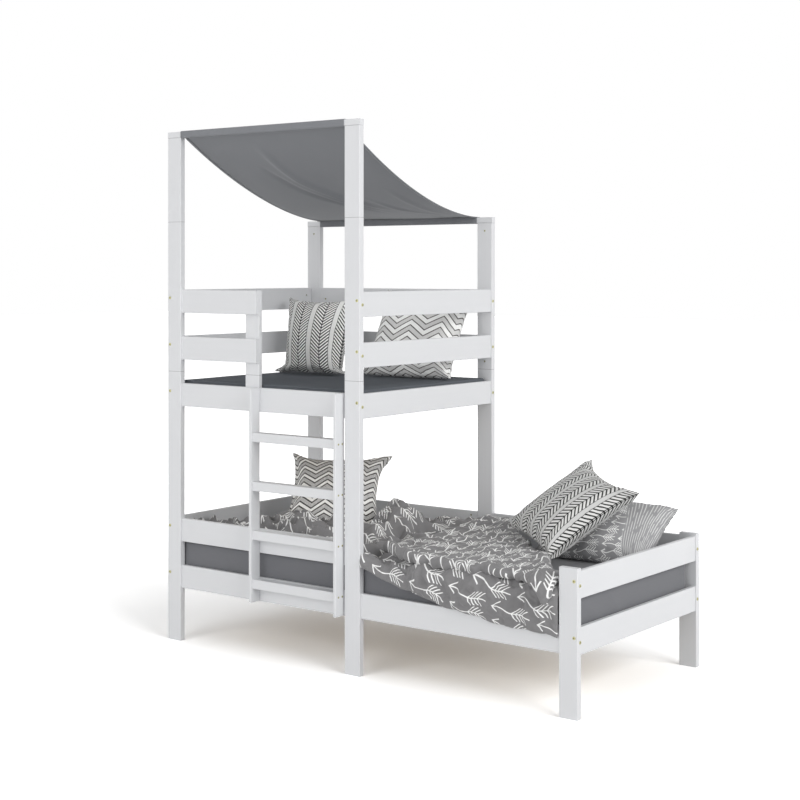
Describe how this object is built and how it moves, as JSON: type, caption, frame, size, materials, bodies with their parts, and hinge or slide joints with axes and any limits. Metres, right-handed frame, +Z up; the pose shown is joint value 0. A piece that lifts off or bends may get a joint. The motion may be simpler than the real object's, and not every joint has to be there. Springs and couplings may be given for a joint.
{
  "type": "children's tower bed",
  "caption": "White wooden children's single bed with a half-length railed play deck, a ladder, a sagging cloth canopy, a mattress, a play pad, a draped duvet and loose cushions.",
  "frame": {"origin": "on the floor, at the middle of the whole bed's length and of its whole depth, ladder included", "axes": "+X along the bed from the tower end to the open end, +Y from the ladder side to the wall side, +Z up"},
  "size_m": [2.08, 1.0182, 2.2262],
  "materials": {
    "white_wood": "opaque white satin paint",
    "slat_wood": "bare sanded pine",
    "canopy_cotton": "plain woven grey cotton",
    "mattress_cover": "grey woven cover",
    "pad_cover": "dark slate woven cover",
    "printed_cotton": "grey cotton with a line-drawn arrow pattern",
    "herringbone_cotton": "pale cotton with dark herringbone bands",
    "chevron_cotton": "grey and white chevron cotton"
  },
  "bodies": {
    "root": {"bed_cushion": "chevron_cotton", "bed_ledger_back": "white_wood", "bed_ledger_front": "white_wood", "bed_rail_back_left_lower": "white_wood", "bed_rail_back_left_upper": "white_wood", "bed_rail_back_right_lower": "white_wood", "bed_rail_back_right_upper": "white_wood", "bed_rail_front_left_lower": "white_wood", "bed_rail_front_left_upper": "white_wood", "bed_rail_front_right_lower": "white_wood", "bed_rail_left_end_lower": "white_wood", "bed_rail_left_end_upper": "white_wood", "bed_rail_right_end_lower": "white_wood", "bed_rail_right_end_upper": "white_wood", "bed_slat_roll": "slat_wood", "canopy_bar_back": "white_wood", "canopy_bar_front": "white_wood", "canopy_cloth": "canopy_cotton", "deck_cushion_left": "herringbone_cotton", "deck_cushion_right": "chevron_cotton", "deck_ledger_back": "white_wood", "deck_ledger_front_left": "white_wood", "deck_ledger_front_right": "white_wood", "deck_pad": "pad_cover", "deck_rail_back": "white_wood", "deck_rail_front": "white_wood", "deck_rail_left": "white_wood", "deck_rail_right": "white_wood", "deck_slat_roll": "slat_wood", "duvet": "printed_cotton", "end_cushion": "herringbone_cotton", "guard_low_back": "white_wood", "guard_low_front": "white_wood", "guard_low_left": "white_wood", "guard_low_right": "white_wood", "guard_post": "white_wood", "guard_top_back": "white_wood", "guard_top_front": "white_wood", "guard_top_left": "white_wood", "guard_top_right": "white_wood", "ladder_rung_1": "white_wood", "ladder_rung_2": "white_wood", "ladder_rung_3": "white_wood", "ladder_rung_4": "white_wood", "ladder_stile_left": "white_wood", "ladder_stile_right": "white_wood", "mattress": "mattress_cover", "pillow": "printed_cotton", "post_back_left_lower": "white_wood", "post_back_left_upper": "white_wood", "post_back_mid_lower": "white_wood", "post_back_mid_upper": "white_wood", "post_end_back": "white_wood", "post_end_front": "white_wood", "post_front_left_lower": "white_wood", "post_front_left_upper": "white_wood", "post_front_mid_lower": "white_wood", "post_front_mid_upper": "white_wood"}
  },
  "joints": []
}
